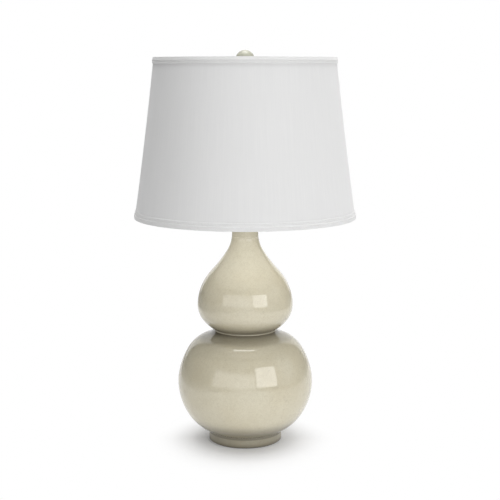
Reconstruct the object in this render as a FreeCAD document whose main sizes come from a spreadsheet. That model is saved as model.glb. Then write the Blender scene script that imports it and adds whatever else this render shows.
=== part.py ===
import FreeCAD, Part
import Sketcher
import math
import os

# A double gourd table lamp: a hollow glazed body of two bulbs one above the other, a threaded
# tube up its middle, a lamp holder with a turn switch, a bulb, a harp, and a fabric drum shade
# held by a spider and a ball finial. Millimetres, +Z up, the axis of the lamp on Z, and the
# table at z = 0. The switch knob points to -Y, and the cord hole to +Y.

# Driving dimensions.
SIZES = {
    # Felt pad under the foot
    "felt_radius": 65.6,
    "felt_thickness": 1.2,
    # Glazed body: foot ring, lower bulb, waist, upper bulb, neck
    "wall": 6.0,
    "foot_radius": 68.4,
    "foot_rounding": 1.8,
    "foot_bore": 61.0,
    "floor_under": 15.0,
    "floor_over": 22.0,
    "lower_radius": 125.7,
    "lower_height": 113.0,
    "belly_bend": 93.0,
    "belly_rise": 11.0,
    "belly_fall": 6.8,
    "lower_bend": 117.0,
    "lower_turn": 31.0,
    "tuck_bend": 89.0,
    "shoulder_bend": 135.0,
    "shoulder_turn": 31.3,
    "brow_bend": 60.7,
    "brow_turn": 74.0,
    "heel_bend": 30.0,
    "waist_bend": 2.2,
    "glaze_bend": 2.0,
    "upper_radius": 88.6,
    "upper_height": 258.4,
    "under_bend": 45.6,
    "under_turn": 36.1,
    "keel_bend": 67.2,
    "keel_turn": 23.98,
    "crest_bend": 84.4,
    "crest_turn": 21.8,
    "crown_bend": 108.0,
    "crown_turn": 42.3,
    "crown_slope": 6.7,
    "flare_bend": 219.0,
    "flare_turn": 10.8,
    "throat_bend": 58.3,
    "neck_top": 421.0,
    "lip_rounding": 2.0,
    "tube_hole": 5.4,
    "cord_hole_radius": 5.0,
    "cord_hole_height": 9.0,
    # Cord outlet bushing
    "bushing_bore": 3.3,
    "bushing_inner_end": 58.6,
    "bushing_flange": 7.2,
    "bushing_flange_thick": 1.8,
    # Threaded tube and what clamps it to the floor
    "tube_radius": 4.85,
    "tube_bore": 3.3,
    "tube_low": 6.4,
    "tube_high": 444.0,
    "washer_bore": 5.1,
    "washer_radius": 17.0,
    "washer_thick": 1.6,
    "spring_washer_radius": 8.6,
    "spring_washer_thick": 1.2,
    "spring_washer_gap": 1.4,
    "nut_flats": 14.3,
    "nut_thick": 4.0,
    "nut_chamfer": 0.9,
    # Gasket, cap and nut on the neck
    "gasket_bore": 18.6,
    "gasket_thick": 1.0,
    "cap_radius": 26.0,
    "cap_skirt": 4.0,
    "cap_clearance": 0.35,
    "cap_edge": 2.0,
    "cap_rise": 6.0,
    "cap_boss": 9.0,
    # Harp saddle
    "saddle_thick": 1.8,
    "saddle_width": 14.0,
    "saddle_arm": 20.0,
    "saddle_prong_width": 6.0,
    "saddle_prong_face": 31.0,
    "saddle_prong_height": 14.7,
    "saddle_bend": 1.2,
    # Lamp holder
    "holder_radius": 18.9,
    "holder_wall": 0.9,
    "holder_hub": 7.2,
    "holder_hub_height": 7.4,
    "holder_flare": 10.0,
    "holder_cap_height": 24.0,
    "barrel_wall": 0.8,
    "barrel_low": 452.0,
    "barrel_high": 500.0,
    "barrel_bead": 1.1,
    "liner_wall": 0.7,
    "liner_low": 454.0,
    "liner_high": 498.2,
    "block_low": 455.0,
    "block_high": 470.0,
    "block_flat": 12.4,
    "sleeve_mean": 13.8,
    "sleeve_wall": 0.5,
    "sleeve_high": 494.5,
    "thread_pitch": 3.63,
    "thread_bend": 1.2,
    "contact_width": 6.0,
    "contact_reach": 6.5,
    "contact_thick": 0.5,
    "contact_lift": 3.3,
    "terminal_radius": 3.0,
    "terminal_head": 1.5,
    "terminal_shank": 1.5,
    "terminal_height": 461.0,
    "grub_radius": 1.6,
    "grub_height": 437.5,
    # Turn switch
    "switch_height": 462.0,
    "stem_radius": 1.9,
    "stem_fit": 0.07,
    "stem_inner_end": 4.0,
    "stem_length": 23.0,
    "nose_radius": 3.6,
    "nose_inner_end": 9.0,
    "nose_length": 12.5,
    "nose_hole": 4.0,
    "knob_radius": 6.2,
    "knob_collar": 4.0,
    "knob_length": 15.0,
    "knob_start": 23.5,
    "knob_grip": 2.6,
    # Bulb
    "tip_low": 473.4,
    "tip_radius": 4.6,
    "tip_thick": 1.6,
    "insulator_high": 480.0,
    "cap_thread_mean": 12.55,
    "bulb_collar_low": 497.8,
    "bulb_collar_wall": 0.5,
    "glass_radius": 30.0,
    "glass_height": 551.3,
    "glass_turn": 35.0,
    "glass_neck_bend": 57.5,
    "glass_wall": 1.0,
    # Harp
    "harp_wire": 1.8,
    "harp_leg": 28.9,
    "harp_low": 435.6,
    "harp_straight": 464.4,
    "harp_flare_angle": 15.0,
    "harp_flare_bend": 66.0,
    "harp_slope": 79.5,
    "harp_side_bend": 155.0,
    "harp_side_turn": 23.5,
    "harp_top_bend": 35.0,
    "harp_plate_half": 12.8,
    "harp_plate_width": 12.0,
    "harp_plate_thick": 2.8,
    # Locking sleeves
    "ferrule_offset": 29.95,
    "ferrule_low": 434.1,
    "ferrule_height": 15.4,
    "ferrule_bore": 4.45,
    "ferrule_radius": 5.3,
    "ferrule_mouth": 3.15,
    "ferrule_top": 4.4,
    # Swivel stud
    "stud_radius": 3.1,
    "stud_fit": 0.08,
    "stud_head": 5.0,
    "stud_head_thick": 1.6,
    "stud_gap": 0.25,
    "stud_flange": 7.0,
    "stud_flange_thick": 2.2,
    "stud_thread": 14.6,
    # Shade
    "shade_low": 420.9,
    "shade_high": 711.3,
    "shade_low_radius": 202.1,
    "shade_high_radius": 164.6,
    "shade_bow": 1.2,
    "fabric_thick": 0.8,
    "liner_thick": 0.6,
    "hem": 0.8,
    "trim_edge_fold": 7.0,
    "trim_whole": 12.5,
    "trim_thick": 1.1,
    "trim_step": 0.55,
    "trim_rounding": 0.7,
    "trim_tuck_high": 1.8,
    "trim_tuck_low": 8.0,
    "seam_angle": 4.0,
    "seam_thick": 0.4,
    "ring_wire": 1.3,
    # Spider
    "hub_bore": 3.5,
    "hub_radius": 14.0,
    "hub_thick": 1.6,
    "arm_wire": 1.4,
    "arm_start": 9.6,
    "arm_weld": 0.25,
    "arm_bend": 30.0,
    "arm_turn": 40.0,
    # Finial
    "ball_radius": 17.6,
    "ball_height": 706.8,
    "ball_foot": 690.3,
    "ball_socket": 703.0,
    "insert_flange": 8.2,
    "insert_flange_thick": 2.0,
    "insert_waist": 2.0,
    "insert_collar": 6.6,
    "insert_stem": 5.0,
    "insert_bore": 3.18,
    "insert_bore_high": 701.0,
}

ARMS = 3
THREAD_TURNS = 5
UP = FreeCAD.Vector(0, 0, 1)


class Size:
    """A length or an angle: its number, and the formula over the sheet that gives it."""

    def __init__(self, number, formula):
        self.number = number
        self.formula = formula

    def __add__(self, other):
        return combine(self, "+", other)

    def __radd__(self, other):
        return combine(other, "+", self)

    def __sub__(self, other):
        return combine(self, "-", other)

    def __rsub__(self, other):
        return combine(other, "-", self)

    def __mul__(self, other):
        return combine(self, "*", other)

    def __rmul__(self, other):
        return combine(other, "*", self)

    def __truediv__(self, other):
        return combine(self, "/", other)

    def __neg__(self):
        return combine(0, "-", self)


def as_size(value):
    """A plain number as a Size."""
    if isinstance(value, Size):
        return value
    return Size(float(value), repr(float(value)))


def combine(first, sign, second):
    """Two sizes joined by + - * or /."""
    first = as_size(first)
    second = as_size(second)
    results = {
        "+": first.number + second.number,
        "-": first.number - second.number,
        "*": first.number * second.number,
        "/": first.number / second.number if second.number else 0.0,
    }
    return Size(results[sign], "(" + first.formula + " " + sign + " " + second.formula + ")")


def sine(angle):
    return Size(math.sin(math.radians(angle.number)), "sin(" + angle.formula + ")")


def cosine(angle):
    return Size(math.cos(math.radians(angle.number)), "cos(" + angle.formula + ")")


def size(name):
    """A driving dimension, by its name in the sheet."""
    return Size(SIZES[name], "sizes." + name)


doc = FreeCAD.newDocument("double_gourd_lamp")
sheet = doc.addObject("Spreadsheet::Sheet", "sizes")
for row, name in enumerate(SIZES, start=1):
    sheet.set("A" + str(row), name)
    sheet.set("B" + str(row), str(SIZES[name]))
    sheet.setAlias("B" + str(row), name)
doc.recompute()

subparts = []


# Building blocks shared by the pieces

def new_body(label):
    """An empty body that is one sub-part of the lamp."""
    body = doc.addObject("PartDesign::Body", label)
    body.Label = label
    subparts.append(body)
    return body


def new_sketch(body, name, plane, offset=None):
    """A sketch on one of the body's own origin planes, raised along its normal by offset."""
    sketch = body.newObject("Sketcher::SketchObject", name)
    support = [item for item in body.Origin.OriginFeatures if item.Role == plane][0]
    sketch.AttachmentSupport = [(support, "")]
    sketch.MapMode = "FlatFace"
    if offset is not None:
        sketch.AttachmentOffset = FreeCAD.Placement(
            FreeCAD.Vector(0, 0, offset.number), FreeCAD.Rotation())
        sketch.setExpression("AttachmentOffset.Base.z", offset.formula)
    return sketch


def constrain(sketch, kind, numbers, value):
    """One constraint whose value follows the sheet."""
    value = as_size(value)
    index = sketch.addConstraint(Sketcher.Constraint(kind, *numbers, value.number))
    sketch.setExpression("Constraints[" + str(index) + "]", value.formula)


def pin(sketch, edge, point, x, y):
    """Holds a point of the sketch at x, y."""
    for kind, axis, value in (("DistanceX", -2, as_size(x)), ("DistanceY", -1, as_size(y))):
        if abs(value.number) < 1e-9:
            sketch.addConstraint(Sketcher.Constraint("PointOnObject", edge, point, axis))
        else:
            constrain(sketch, kind, (-1, 1, edge, point), value)


def arc_between(start, end, radius, side):
    """The smaller arc from start to end, with its centre on the left or right of the way."""
    middle = (start + end) * 0.5
    chord = end - start
    away = math.sqrt(max(radius * radius - chord.Length * chord.Length / 4, 0.0))
    left = FreeCAD.Vector(-chord.y, chord.x, 0).normalize()
    centre = middle + left * (away if side == "left" else -away)
    first, last = (start, end) if side == "left" else (end, start)
    low = math.atan2(first.y - centre.y, first.x - centre.x)
    high = math.atan2(last.y - centre.y, last.x - centre.x)
    if high < low:
        high += 2 * math.pi
    return Part.ArcOfCircle(Part.Circle(centre, UP, radius), low, high)


def draw(sketch, corners, closed=True):
    """An outline of (x, y) corners. Where a corner also has a radius and a side, the edge that
    leaves it is an arc, and elsewhere a straight line."""
    places = []
    for corner in corners:
        places.append(FreeCAD.Vector(as_size(corner[0]).number, as_size(corner[1]).number, 0))
    count = len(corners)
    edges = []
    for index in range(count if closed else count - 1):
        start = places[index]
        end = places[(index + 1) % count]
        if len(corners[index]) == 2:
            edge = sketch.addGeometry(Part.LineSegment(start, end))
            edges.append((edge, 1, 2))
        else:
            radius, side = corners[index][2:]
            edge = sketch.addGeometry(arc_between(start, end, as_size(radius).number, side))
            edges.append((edge, 1, 2) if side == "left" else (edge, 2, 1))
            constrain(sketch, "Radius", (edge,), radius)
    for index, (edge, first, last) in enumerate(edges):
        pin(sketch, edge, first, corners[index][0], corners[index][1])
        if closed or index + 1 < len(edges):
            following = edges[(index + 1) % len(edges)]
            sketch.addConstraint(
                Sketcher.Constraint("Coincident", edge, last, following[0], following[1]))
        else:
            pin(sketch, edge, last, corners[index + 1][0], corners[index + 1][1])


def draw_circle(sketch, x, y, radius):
    """A circle held at x, y."""
    radius = as_size(radius)
    centre = FreeCAD.Vector(as_size(x).number, as_size(y).number, 0)
    edge = sketch.addGeometry(Part.Circle(centre, UP, radius.number))
    constrain(sketch, "Radius", (edge,), radius)
    pin(sketch, edge, 3, x, y)


def draw_box(sketch, low_x, low_y, high_x, high_y):
    """A rectangle between two corners."""
    draw(sketch, [(low_x, low_y), (high_x, low_y), (high_x, high_y), (low_x, high_y)])


def revolve(body, corners, name="turned_form", plane="XZ_Plane"):
    """Adds a form turned about the body's Z axis, from its outline of (radius, height)."""
    sketch = new_sketch(body, name + "_outline", plane)
    draw(sketch, corners)
    feature = body.newObject("PartDesign::Revolution", name)
    feature.Profile = sketch
    feature.ReferenceAxis = (sketch, ["V_Axis"])
    feature.Angle = 360
    body.Tip = feature
    return feature


def hollow(body, corners, name="turned_hollow"):
    """Cuts a form turned about the body's Z axis."""
    doc.recompute()
    before = body.Shape.Volume
    sketch = new_sketch(body, name + "_outline", "XZ_Plane")
    draw(sketch, corners)
    feature = body.newObject("PartDesign::Groove", name)
    feature.Profile = sketch
    feature.ReferenceAxis = (sketch, ["V_Axis"])
    feature.Angle = 360
    body.Tip = feature
    doc.recompute()
    if body.Shape.Volume >= before:
        raise RuntimeError(name + " cuts nothing")


def pad(body, sketch, length, name, both_ways=False, reverse=False):
    """Adds a straight form on a sketch."""
    feature = body.newObject("PartDesign::Pad", name)
    feature.Profile = sketch
    feature.setExpression("Length", as_size(length).formula)
    feature.Midplane = both_ways
    feature.Reversed = reverse
    body.Tip = feature
    return feature


def pocket(body, sketch, name, length=None, both_ways=False, reverse=False):
    """Cuts a straight form, all the way through where no length is given."""
    doc.recompute()
    before = body.Shape.Volume
    feature = body.newObject("PartDesign::Pocket", name)
    feature.Profile = sketch
    if length is None:
        feature.Type = "ThroughAll"
    else:
        feature.setExpression("Length", as_size(length).formula)
    feature.Midplane = both_ways
    feature.Reversed = reverse
    body.Tip = feature
    doc.recompute()
    if body.Shape.Volume >= before:
        raise RuntimeError(name + " cuts nothing")


def turned(label, corners):
    """A sub-part that is one turned form."""
    body = new_body(label)
    revolve(body, corners)
    return body


def ring(label, bore, radius, low, thick):
    """A plain flat washer."""
    return turned(label, [(bore, low), (radius, low), (radius, low + thick), (bore, low + thick)])


def sweep(body, path, wire_radius, name, start_plane, start_offset, start_x, start_y):
    """Adds a round wire along an open path in the XZ plane."""
    spine = new_sketch(body, name + "_path", "XZ_Plane")
    draw(spine, path, closed=False)
    section = new_sketch(body, name + "_section", start_plane, start_offset)
    draw_circle(section, start_x, start_y, wire_radius)
    feature = body.newObject("PartDesign::AdditivePipe", name)
    feature.Profile = section
    feature.Spine = spine
    body.Tip = feature
    return feature


def turn_piece(body, direction, x=0, y=0, height=0):
    """Lays a piece made along Z so that its +Z points along direction, and places it."""
    rotation = FreeCAD.Rotation(UP, FreeCAD.Vector(*direction))
    body.Placement = FreeCAD.Placement(FreeCAD.Vector(x, y, 0), rotation)
    body.setExpression("Placement.Base.z", as_size(height).formula)


# Felt pad, glued under the foot

def build_felt_pad():
    felt = doc.addObject("Part::Cylinder", "felt_pad")
    felt.Label = "felt_pad"
    felt.setExpression("Radius", "sizes.felt_radius")
    felt.setExpression("Height", "sizes.felt_thickness")
    subparts.append(felt)


# Glazed body. Its outline is a chain of arcs that meet without a corner. The inside is the
# same chain, moved in by the wall.

def gourd_side(inset):
    """The side from the foot to the top of the neck, moved inwards by inset. Each entry is a
    corner, with the arc that leaves it."""
    lower_radius = size("lower_radius") - inset
    lower_height = size("lower_height")
    upper_radius = size("upper_radius") - inset
    upper_height = size("upper_height")

    # Lower bulb: one arc across its widest place, with its ends above and below it
    belly_bend = size("belly_bend") - inset
    belly_centre = lower_radius - belly_bend
    fall = size("belly_fall")
    belly_low = (belly_centre + belly_bend * cosine(fall), lower_height - belly_bend * sine(fall))
    climb = size("belly_rise")
    belly_high = (belly_centre + belly_bend * cosine(climb), lower_height + belly_bend * sine(climb))

    # Lower bulb, down to the foot
    lower_bend = size("lower_bend") - inset
    tuck_bend = size("tuck_bend") - inset
    turn = size("lower_turn")
    low_join = (belly_low[0] - lower_bend * (cosine(fall) - cosine(turn)),
                belly_low[1] - lower_bend * (sine(turn) - sine(fall)))
    tuck_centre = (low_join[0] - tuck_bend * cosine(turn), low_join[1] + tuck_bend * sine(turn))

    # Lower bulb, up to the waist
    shoulder_bend = size("shoulder_bend") - inset
    brow_bend = size("brow_bend") - inset
    turn = size("shoulder_turn")
    high_join = (belly_high[0] - shoulder_bend * (cosine(climb) - cosine(turn)),
                 belly_high[1] + shoulder_bend * (sine(turn) - sine(climb)))
    brow_centre = (high_join[0] - brow_bend * cosine(turn), high_join[1] - brow_bend * sine(turn))

    # Past the brow its top rises again in a slight hollow
    turn = size("brow_turn")
    brow_end = (brow_centre[0] + brow_bend * cosine(turn), brow_centre[1] + brow_bend * sine(turn))
    heel_bend = size("heel_bend") + inset
    heel_centre = (brow_end[0] + heel_bend * cosine(turn), brow_end[1] + heel_bend * sine(turn))

    # Underside of the upper bulb, from its widest place down to the waist
    under_bend = size("under_bend") - inset
    keel_bend = size("keel_bend") - inset
    turn = size("under_turn")
    keel_top = (upper_radius - under_bend + under_bend * cosine(turn),
                upper_height - under_bend * sine(turn))
    keel_centre = (keel_top[0] - keel_bend * cosine(turn), keel_top[1] + keel_bend * sine(turn))
    keel_angle = turn + size("keel_turn")
    keel_end = (keel_centre[0] + keel_bend * cosine(keel_angle),
                keel_centre[1] - keel_bend * sine(keel_angle))

    # Waist: a narrow groove, a little softer below than under the upper bulb
    glaze_bend = size("glaze_bend") + inset
    waist_bend = size("waist_bend") + inset
    glaze_centre = (keel_end[0] + glaze_bend * cosine(keel_angle),
                    keel_end[1] - glaze_bend * sine(keel_angle))
    glaze_end = (glaze_centre[0] - glaze_bend, glaze_centre[1])
    waist_centre = (glaze_end[0] + waist_bend, glaze_end[1])

    # The groove touches the slight hollow on the line through their centres
    across = waist_centre[0].number - heel_centre[0].number
    rise = waist_centre[1].number - heel_centre[1].number
    reach = math.hypot(across, rise)
    heel_end = (heel_centre[0] + heel_bend * (across / reach),
                heel_centre[1] + heel_bend * (rise / reach))

    # Crown of the upper bulb and the sweep up to the neck
    crest_bend = size("crest_bend") - inset
    crest = size("crest_turn")
    crest_end = (upper_radius - crest_bend + crest_bend * cosine(crest),
                 upper_height + crest_bend * sine(crest))
    crown_bend = size("crown_bend") - inset
    turn = size("crown_turn")
    crown_end = (crest_end[0] - crown_bend * (cosine(crest) - cosine(turn)),
                 crest_end[1] + crown_bend * (sine(turn) - sine(crest)))
    slope_end = (crown_end[0] - size("crown_slope") * sine(turn),
                 crown_end[1] + size("crown_slope") * cosine(turn))
    flare_bend = size("flare_bend") + inset
    throat_bend = size("throat_bend") + inset
    throat_turn = turn - size("flare_turn")
    flare_end = (slope_end[0] - flare_bend * (cosine(throat_turn) - cosine(turn)),
                 slope_end[1] + flare_bend * (sine(turn) - sine(throat_turn)))
    throat_end = (flare_end[0] - throat_bend * (1 - cosine(throat_turn)),
                  flare_end[1] + throat_bend * sine(throat_turn))

    chain = [
        low_join + (lower_bend, "left"),
        belly_low + (belly_bend, "left"),
        belly_high + (shoulder_bend, "left"),
        high_join + (brow_bend, "left"),
        brow_end + (heel_bend, "right"),
        heel_end + (waist_bend, "right"),
        glaze_end + (glaze_bend, "right"),
        keel_end + (keel_bend, "left"),
        keel_top + (under_bend, "left"),
        (upper_radius, upper_height, crest_bend, "left"),
        crest_end + (crown_bend, "left"),
        crown_end,
        slope_end + (flare_bend, "right"),
        flare_end + (throat_bend, "right"),
        throat_end,
    ]
    return chain, tuck_centre, tuck_bend


def on_arc_at_height(centre, radius, height):
    """The radius at which the lower arc of a circle passes a height."""
    drop = centre[1] - height
    inside = radius * radius - drop * drop
    return centre[0] + Size(math.sqrt(inside.number), "sqrt(" + inside.formula + ")")


def on_arc_at_radius(centre, radius, place):
    """The height at which the lower arc of a circle passes a radius."""
    out = place - centre[0]
    inside = radius * radius - out * out
    return centre[1] - Size(math.sqrt(inside.number), "sqrt(" + inside.formula + ")")


def build_gourd_body():
    body = new_body("gourd_body")
    side, tuck_centre, tuck_bend = gourd_side(0)
    neck_radius = side[-1][0]
    rounding = size("foot_rounding")
    lip = size("lip_rounding")
    foot_low = size("felt_thickness")
    foot_radius = size("foot_radius")
    neck_bore = neck_radius - size("wall")
    outline = [
        (0, size("floor_under")),
        (size("foot_bore"), size("floor_under")),
        (size("foot_bore"), foot_low),
        (foot_radius - rounding, foot_low, rounding, "left"),
        (foot_radius, foot_low + rounding),
        (foot_radius, on_arc_at_radius(tuck_centre, tuck_bend, foot_radius), tuck_bend, "left"),
    ]
    outline += side
    outline += [
        (neck_radius, size("neck_top") - lip, lip, "left"),
        (neck_radius - lip, size("neck_top")),
        (neck_bore, size("neck_top")),
        (0, size("neck_top")),
    ]
    revolve(body, outline, "outer_form")

    inner, tuck_centre, tuck_bend = gourd_side(size("wall"))
    floor = size("floor_over")
    start = on_arc_at_height(tuck_centre, tuck_bend, floor)
    cavity = [(0, floor), (start, floor, tuck_bend, "left")]
    cavity += inner
    above = size("neck_top") + 5
    cavity += [(inner[-1][0], above), (0, above)]
    hollow(body, cavity, "cavity")

    tube = new_sketch(body, "tube_hole_place", "XY_Plane")
    draw_circle(tube, 0, 0, size("tube_hole"))
    pocket(body, tube, "tube_hole", length=size("floor_over") + 5, reverse=True)

    cord = new_sketch(body, "cord_hole_place", "XZ_Plane")
    draw_circle(cord, 0, size("cord_hole_height"), size("cord_hole_radius"))
    pocket(body, cord, "cord_hole", length=size("foot_radius") + 5)
    return neck_radius


# Cord outlet bushing in the back of the foot ring

def build_cord_bushing():
    bore = size("bushing_bore")
    flange_face = size("foot_radius")
    outer_end = flange_face + size("bushing_flange_thick")
    edge = 0.6
    body = turned("cord_bushing", [
        (bore + edge, size("bushing_inner_end")),
        (size("cord_hole_radius"), size("bushing_inner_end")),
        (size("cord_hole_radius"), flange_face),
        (size("bushing_flange"), flange_face),
        (size("bushing_flange"), outer_end - edge, as_size(edge), "left"),
        (size("bushing_flange") - edge, outer_end),
        (bore + edge, outer_end, as_size(edge), "left"),
        (bore, outer_end - edge),
        (bore, size("bushing_inner_end") + edge, as_size(edge), "left"),
    ])
    turn_piece(body, (0, 1, 0), height=size("cord_hole_height"))


# Hexagon nuts and the split washer

def build_nut(label, low):
    """A hexagon nut with its corners turned off at both faces."""
    body = new_body(label)
    half = size("nut_flats") / 2
    corner_radius = half / cosine(as_size(30))
    thick = size("nut_thick")
    corners = []
    for index in range(6):
        angle = math.radians(60 * index)
        corners.append((corner_radius * round(math.cos(angle), 12),
                        corner_radius * round(math.sin(angle), 12)))
    blank = new_sketch(body, "blank_outline", "XY_Plane", low)
    draw(blank, corners)
    pad(body, blank, thick, "blank")
    hole = new_sketch(body, "hole_outline", "XY_Plane", low)
    draw_circle(hole, 0, 0, size("tube_radius"))
    pocket(body, hole, "hole", length=thick + 1, reverse=True)
    chamfer = size("nut_chamfer")
    drop = chamfer * 0.6
    far = corner_radius + 2
    steep = drop * 2 / chamfer
    for name, face, way in (("lower_chamfer", low, 1), ("upper_chamfer", low + thick, -1)):
        hollow(body, [
            (corner_radius - chamfer, face),
            (far, face),
            (far, face + steep * way * (far - corner_radius + chamfer)),
        ], name)


def build_spring_washer(low):
    """A split washer, as a ring with a slanted gap cut out of it."""
    blank = doc.addObject("Part::Cylinder", "spring_washer_blank")
    blank.setExpression("Radius", "sizes.spring_washer_radius")
    blank.setExpression("Height", "sizes.spring_washer_thick")
    hole = doc.addObject("Part::Cylinder", "spring_washer_hole")
    hole.setExpression("Radius", "sizes.washer_bore")
    hole.setExpression("Height", "sizes.spring_washer_thick")
    gap = doc.addObject("Part::Box", "spring_washer_slot")
    gap.setExpression("Length", "sizes.spring_washer_radius * 2")
    gap.setExpression("Width", "sizes.spring_washer_gap")
    gap.setExpression("Height", "sizes.spring_washer_thick * 3")
    gap.Placement = FreeCAD.Placement(
        FreeCAD.Vector(0, -0.2, -1), FreeCAD.Rotation(FreeCAD.Vector(1, 0, 0), 20))
    opened = doc.addObject("Part::Cut", "spring_washer_ring")
    opened.Base = blank
    opened.Tool = hole
    washer = doc.addObject("Part::Cut", "floor_spring_washer")
    washer.Label = "floor_spring_washer"
    washer.Base = opened
    washer.Tool = gap
    washer.setExpression("Placement.Base.z", low.formula)
    subparts.append(washer)


# Neck: gasket, brass cap and its nut

def cap_seat():
    return size("neck_top") + size("gasket_thick")


def cap_top():
    return cap_seat() + size("cap_rise")


def build_neck_cap(neck_radius):
    """A turned brass cap that sits over the rim of the neck."""
    inner = neck_radius + size("cap_clearance")
    seat = cap_seat()
    edge = size("cap_edge")
    crown = cap_top()
    turned("neck_cap", [
        (size("washer_bore"), seat),
        (inner, seat),
        (inner, seat - size("cap_skirt")),
        (size("cap_radius"), seat - size("cap_skirt")),
        (size("cap_radius"), seat, edge, "left"),
        (size("cap_radius") - edge, seat + edge, as_size(26.0), "right"),
        (size("cap_boss"), crown),
        (size("washer_bore"), crown),
    ])


# Harp saddle: a bent strip clamped between the cap nut and the lamp holder

def saddle_low():
    return cap_top() + size("nut_thick")


def build_harp_saddle():
    body = new_body("harp_saddle")
    low = saddle_low()
    thick = size("saddle_thick")
    high = low + thick
    face = size("saddle_prong_face")
    bend = size("saddle_bend")
    outer = bend + thick
    top = low + size("saddle_prong_height")
    outline = [
        (-(face - bend), low),
        (face - bend, low, outer, "left"),
        (face + thick, low + outer),
        (face + thick, top),
        (face, top),
        (face, high + bend, bend, "right"),
        (face - bend, high),
        (-(face - bend), high, bend, "right"),
        (-face, high + bend),
        (-face, top),
        (-(face + thick), top),
        (-(face + thick), low + outer, outer, "left"),
    ]
    strip = new_sketch(body, "strip_outline", "XZ_Plane")
    draw(strip, outline)
    pad(body, strip, size("saddle_width"), "strip", both_ways=True)
    hole = new_sketch(body, "hole_outline", "XY_Plane", low)
    draw_circle(hole, 0, 0, size("washer_bore"))
    pocket(body, hole, "hole", length=thick + 1, reverse=True)
    waste = new_sketch(body, "narrowing_outline", "XY_Plane", low)
    half = size("saddle_prong_width") / 2
    arm = size("saddle_arm")
    far_x = face + thick + 2
    far_y = size("saddle_width") / 2 + 2
    draw_box(waste, arm, half, far_x, far_y)
    draw_box(waste, arm, -far_y, far_x, -half)
    draw_box(waste, -far_x, half, -arm, far_y)
    draw_box(waste, -far_x, -far_y, -arm, -half)
    pocket(body, waste, "narrowing", length=size("saddle_prong_height") + 2, reverse=True)


# Lamp holder: cap, barrel, insulating liner, block, screw sleeve, contact and terminals

def holder_low():
    return saddle_low() + size("saddle_thick")


def build_holder_cap():
    low = holder_low()
    hub = size("holder_hub")
    hub_top = low + size("holder_hub_height")
    radius = size("holder_radius")
    wall = size("holder_wall")
    flare = size("holder_flare")
    rim = low + size("holder_cap_height")
    bore = size("tube_radius")
    shelf = hub_top + wall
    body = turned("holder_cap", [
        (bore, low),
        (hub, low),
        (hub, hub_top),
        (radius - flare, hub_top, flare, "left"),
        (radius, hub_top + flare),
        (radius, rim),
        (radius - wall, rim),
        (radius - wall, hub_top + flare, flare - wall, "right"),
        (radius - flare, shelf),
        (bore, shelf),
    ])
    grub = new_sketch(body, "grub_hole_place", "XZ_Plane")
    draw_circle(grub, 0, size("grub_height"), size("grub_radius"))
    pocket(body, grub, "grub_hole", length=hub + 1)


def build_grub_screw():
    """A slotted set screw in the back of the cap's hub, which grips the tube."""
    body = turned("grub_screw", [
        (0, size("tube_radius")),
        (size("grub_radius"), size("tube_radius")),
        (size("grub_radius"), size("holder_hub") + 0.9),
        (size("grub_radius") - 0.3, size("holder_hub") + 1.2),
        (0, size("holder_hub") + 1.2),
    ])
    slot = new_sketch(body, "slot_outline", "XY_Plane", size("holder_hub") + 0.4)
    draw_box(slot, as_size(-2.5), as_size(-0.25), as_size(2.5), as_size(0.25))
    pocket(body, slot, "slot", length=as_size(2.0), reverse=True)
    turn_piece(body, (0, 1, 0), height=size("grub_height"))


def barrel_radius():
    return size("holder_radius") - size("holder_wall")


def switch_opening(body, start, name):
    """A round hole in the front of a sleeve for the nose of the switch."""
    sketch = new_sketch(body, name + "_place", "XZ_Plane", start)
    draw_circle(sketch, 0, size("switch_height"), size("nose_hole"))
    pocket(body, sketch, name, length=as_size(14.0), reverse=True)


def build_holder_barrel():
    outer = barrel_radius()
    inner = outer - size("barrel_wall")
    bead = size("barrel_bead")
    top = size("barrel_high")
    body = turned("holder_barrel", [
        (inner, size("barrel_low")),
        (outer, size("barrel_low")),
        (outer, top - bead, bead / 1.4, "left"),
        (outer, top, bead / 1.4, "left"),
        (inner, top),
    ])
    switch_opening(body, as_size(8.0), "switch_opening")


def build_holder_liner():
    outer = barrel_radius() - size("barrel_wall")
    inner = outer - size("liner_wall")
    body = turned("holder_liner", [
        (inner, size("liner_low")),
        (outer, size("liner_low")),
        (outer, size("liner_high")),
        (inner, size("liner_high")),
    ])
    switch_opening(body, as_size(8.0), "switch_opening")


def build_switch_block():
    """The moulded block that holds the contacts and the switch."""
    radius = barrel_radius() - size("barrel_wall") - size("liner_wall")
    body = turned("switch_block", [
        (0, size("block_low")),
        (radius, size("block_low")),
        (radius, size("block_high")),
        (0, size("block_high")),
    ])
    height = size("block_high") - size("block_low")
    flat = size("block_flat")
    far = radius + 2
    sides = new_sketch(body, "flats_outline", "XY_Plane", size("block_low"))
    draw_box(sides, flat, -far, far, far)
    draw_box(sides, -far, -far, -flat, far)
    pocket(body, sides, "flats", length=height - 3.0, reverse=True)
    nose = new_sketch(body, "nose_seat_place", "XZ_Plane", size("nose_inner_end"))
    draw_circle(nose, 0, size("switch_height"), size("nose_radius"))
    pocket(body, nose, "nose_seat", length=as_size(14.0), reverse=True)
    stem = new_sketch(body, "stem_bore_place", "XZ_Plane", size("stem_inner_end") - 0.3)
    draw_circle(stem, 0, size("switch_height"), size("stem_radius") + size("stem_fit"))
    pocket(body, stem, "stem_bore", length=as_size(14.0), reverse=True)
    screws = new_sketch(body, "terminal_hole_place", "YZ_Plane")
    draw_circle(screws, 0, size("terminal_height"), size("terminal_shank"))
    depth = flat - 8.0
    pocket(body, screws, "terminal_hole", length=flat * 2 + 4, both_ways=True)
    core = new_sketch(body, "terminal_stop_place", "YZ_Plane")
    draw_circle(core, 0, size("terminal_height"), size("terminal_shank"))
    pad(body, core, (flat - depth) * 2, "terminal_stop", both_ways=True)


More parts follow.
